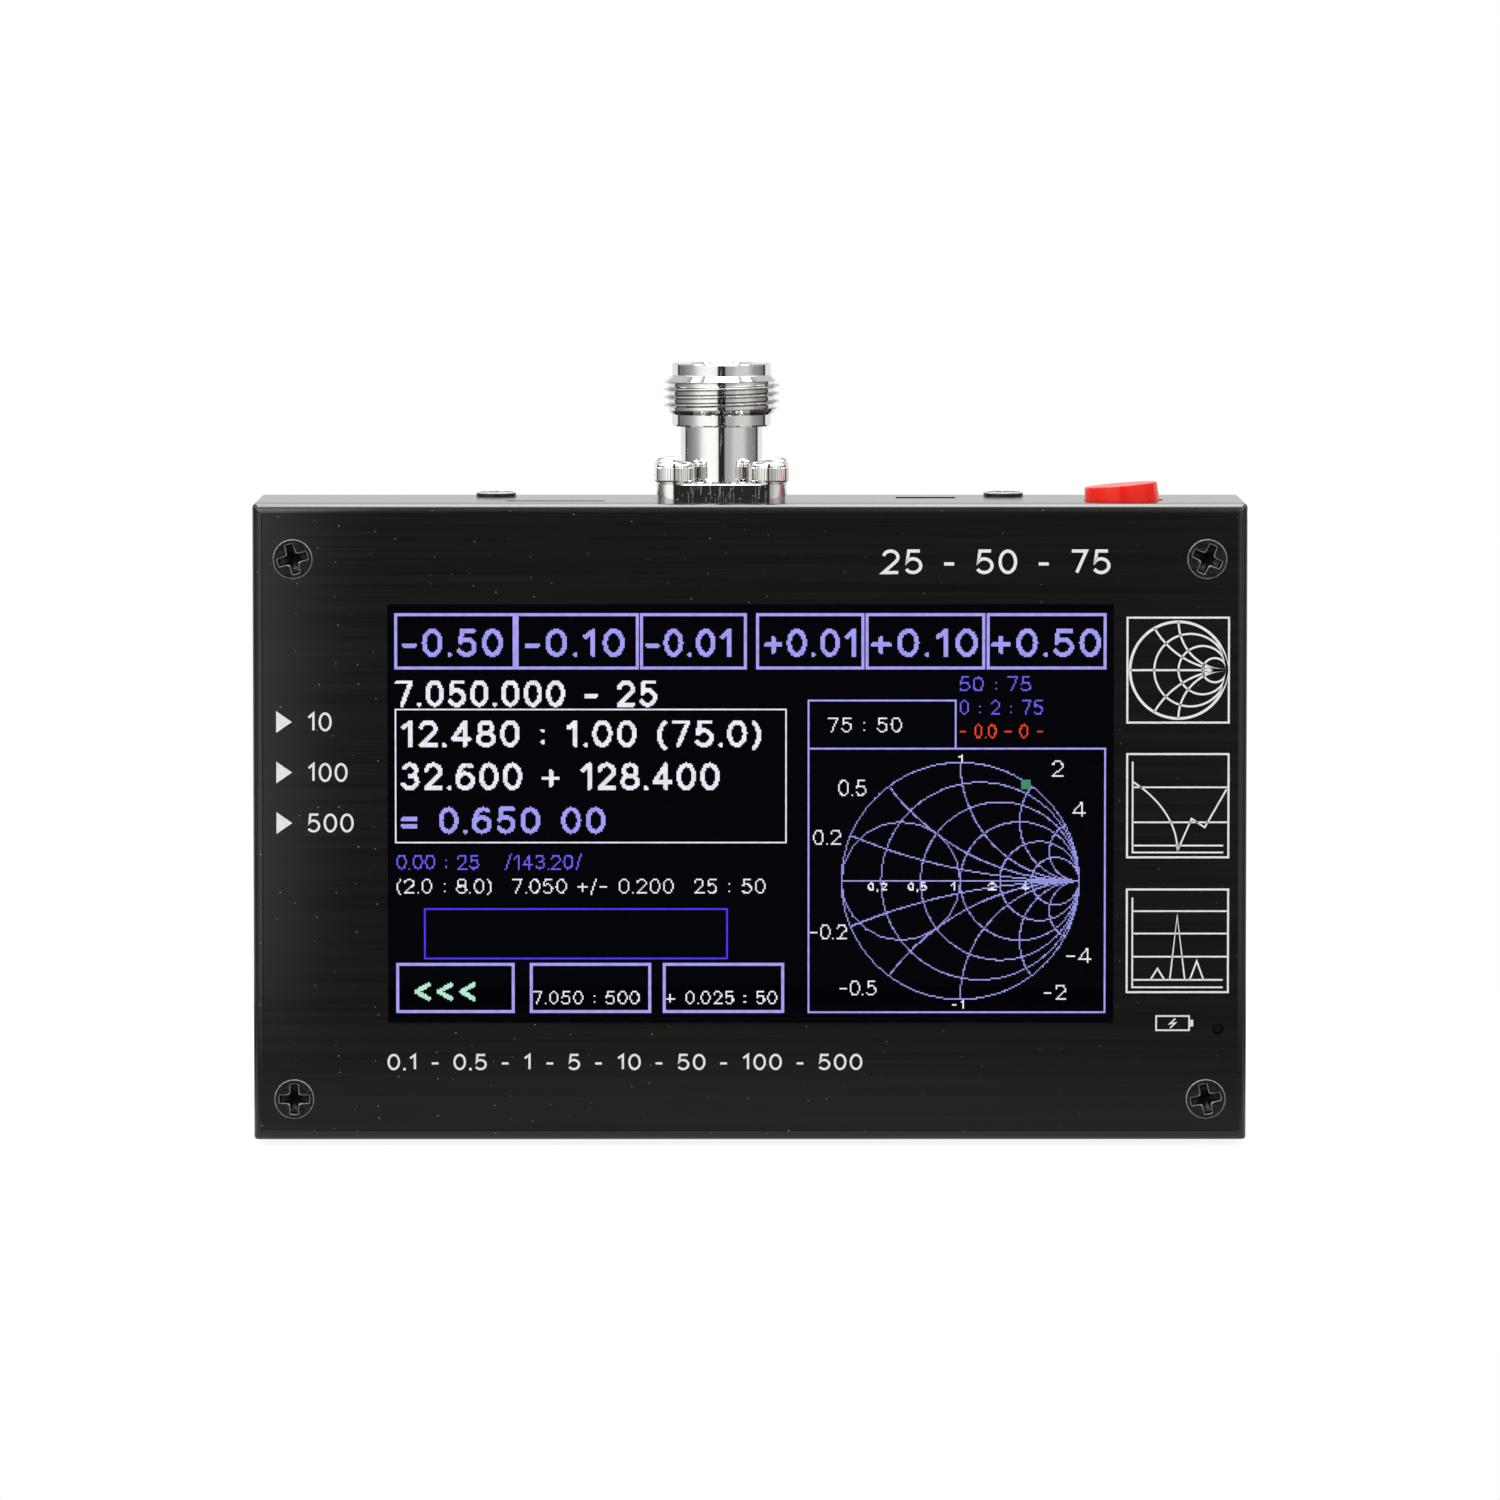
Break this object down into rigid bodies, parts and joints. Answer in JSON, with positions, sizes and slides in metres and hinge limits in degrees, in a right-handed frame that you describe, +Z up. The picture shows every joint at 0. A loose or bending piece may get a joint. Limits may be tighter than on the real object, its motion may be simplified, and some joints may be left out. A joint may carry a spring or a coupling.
{
  "type": "antenna analyzer",
  "caption": "Hand-held antenna analyzer: flat black folded-sheet case with a colour display, coaxial jack on top, card slit, charging socket and red rocker switch.",
  "frame": {"origin": "under the middle of the case, level with the heads of the bottom cover screws", "axes": "+Z up along the coaxial jack, -Y out of the display, +X to the right of someone who reads the display"},
  "size_m": [0.1324, 0.028, 0.104],
  "materials": {
    "anodised_black": "brushed",
    "black_screw": "satin",
    "brass": "satin",
    "zinc_screw": "satin",
    "foam": "matt",
    "display_glass": "gloss",
    "module_frame": "satin",
    "flex_film": "satin",
    "connector_plastic": "matt",
    "board_green": "satin",
    "board_blue": "satin",
    "chip_black": "matt",
    "lamp_clear": "gloss",
    "nickel": "gloss",
    "bead_white": "satin",
    "gold_contact": "gloss",
    "tinned_steel": "satin",
    "card_black": "satin",
    "switch_black": "matt",
    "rocker_red": "gloss",
    "battery_film": "gloss",
    "tape_white": "matt",
    "lead_red": "satin",
    "plug_white": "satin"
  },
  "bodies": {
    "case": {"front_shell": "anodised_black", "back_cover": "anodised_black", "face_screws": "black_screw", "cover_screws": "black_screw", "face_standoffs": "brass", "board_screws": "zinc_screw", "display_gasket": "foam", "touch_panel": "display_glass", "lcd_panel": "module_frame", "display_pads": "foam", "display_flex": "flex_film", "flex_socket": "connector_plastic", "main_board": "board_green", "main_board_chips": "chip_black", "charge_lamp": "lamp_clear", "jack_body": "nickel", "jack_insulator": "bead_white", "jack_contact": "gold_contact", "jack_screws": "nickel", "jack_nuts": "zinc_screw", "header_sockets": "connector_plastic", "header_pin_strips": "connector_plastic", "radio_board": "board_green", "radio_chips": "chip_black", "shield_can": "tinned_steel", "card_socket": "tinned_steel", "switch_housing": "switch_black", "switch_terminals": "tinned_steel", "charger_board": "board_blue", "charger_standoffs": "brass", "charger_screws": "zinc_screw", "charger_chips": "chip_black", "usb_socket": "tinned_steel", "usb_tongue": "connector_plastic", "battery_pack": "battery_film", "battery_tape": "tape_white", "battery_lead": "lead_red", "battery_plug": "plug_white", "battery_socket": "plug_white", "power_lead": "lead_red"},
    "rocker": {"power_rocker": "rocker_red"},
    "card": {"memory_card": "card_black"}
  },
  "joints": [
    {"name": "power_rocker_tilt", "type": "hinge", "parent": "case", "child": "rocker", "pos_m": [0.05015, -0.001, 0.0833], "axis": [0, 1, 0], "range_deg": [0, 9.6]},
    {"name": "memory_card_slide", "type": "slide", "parent": "case", "child": "card", "axis": [0, 0, 1], "range_m": [0, 0.016]}
  ]
}
